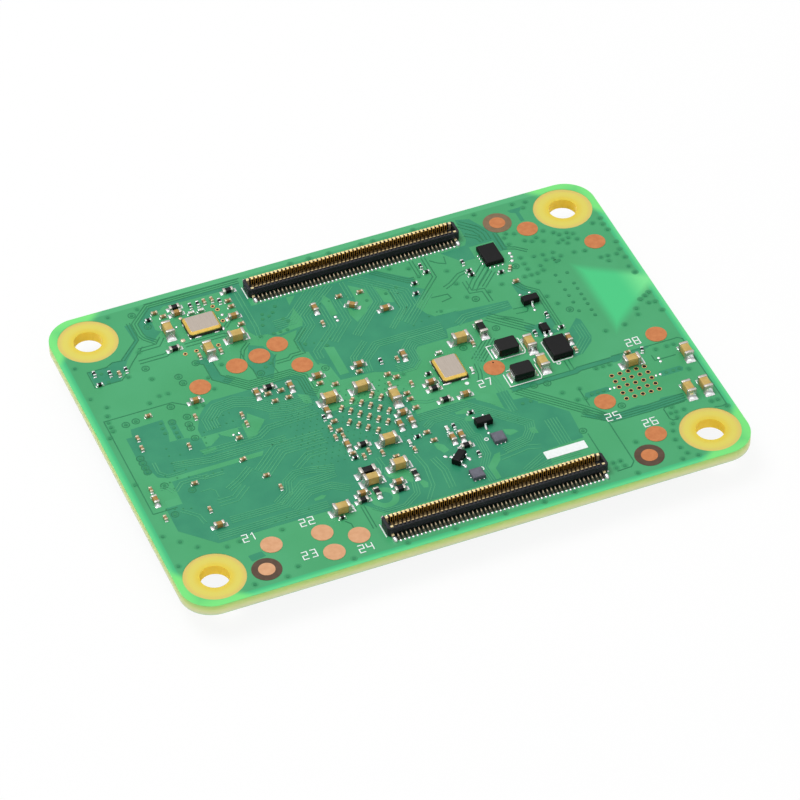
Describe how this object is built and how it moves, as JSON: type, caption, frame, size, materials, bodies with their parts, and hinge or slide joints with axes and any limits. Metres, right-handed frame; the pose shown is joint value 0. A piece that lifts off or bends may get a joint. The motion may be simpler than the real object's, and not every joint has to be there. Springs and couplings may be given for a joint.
{
  "type": "plug-in processor board",
  "caption": "Small green circuit board that plugs into a larger one: two fine-pitch connector rows, a field of tiny chips, corner holes, and a lidded processor on its underside.",
  "frame": {"origin": "centre of the four mounting holes, on the connector side's face of the bare board", "axes": "+X along the board's long side, +Y across it towards the far connector, +Z out of the connector side"},
  "size_m": [0.055, 0.04, 0.0046],
  "materials": {
    "board_laminate": "satin",
    "connector_plastic": "matt",
    "contact_metal": "satin",
    "bright_tin": "satin",
    "capacitor_ceramic": "satin",
    "resistor_black": "satin",
    "link_tin": "satin",
    "mould_black": "satin",
    "mould_grey": "satin",
    "package_ceramic": "matt",
    "lid_metal": "satin",
    "ferrite": "matt",
    "substrate_green": "satin",
    "shield_metal": "satin",
    "socket_plastic": "matt",
    "socket_gold": "satin"
  },
  "bodies": {
    "root": {"circuit_board": "board_laminate", "far_connector_housing": "connector_plastic", "near_connector_housing": "connector_plastic", "far_connector_contacts": "contact_metal", "near_connector_contacts": "contact_metal", "connector_hold_downs": "bright_tin", "small_capacitors": "capacitor_ceramic", "medium_capacitors": "capacitor_ceramic", "large_capacitors": "capacitor_ceramic", "small_resistors": "resistor_black", "medium_resistors": "resistor_black", "ferrite_beads": "ferrite", "link_chips": "link_tin", "far_crystal_base": "package_ceramic", "far_crystal_lid": "lid_metal", "middle_crystal_base": "package_ceramic", "middle_crystal_lid": "lid_metal", "inductor_cores": "ferrite", "inductor_straps": "bright_tin", "regulator_chip": "mould_black", "bridge_chip": "mould_black", "sensor_chips": "mould_grey", "transistor_bodies": "mould_black", "transistor_leads": "bright_tin", "switch_body": "mould_black", "switch_leads": "bright_tin", "processor_substrate": "substrate_green", "processor_lid": "lid_metal", "memory_chip": "mould_black", "storage_chip": "mould_black", "radio_base": "substrate_green", "radio_shield": "shield_metal", "network_chip": "mould_black", "power_chip": "mould_black", "underside_inductor_cores": "ferrite", "underside_inductor_straps": "bright_tin", "underside_crystal_base": "package_ceramic", "underside_crystal_lid": "lid_metal", "aerial_socket_base": "socket_plastic", "aerial_socket_ring": "socket_gold", "aerial_socket_pin": "socket_gold", "underside_capacitors": "capacitor_ceramic"}
  },
  "joints": []
}
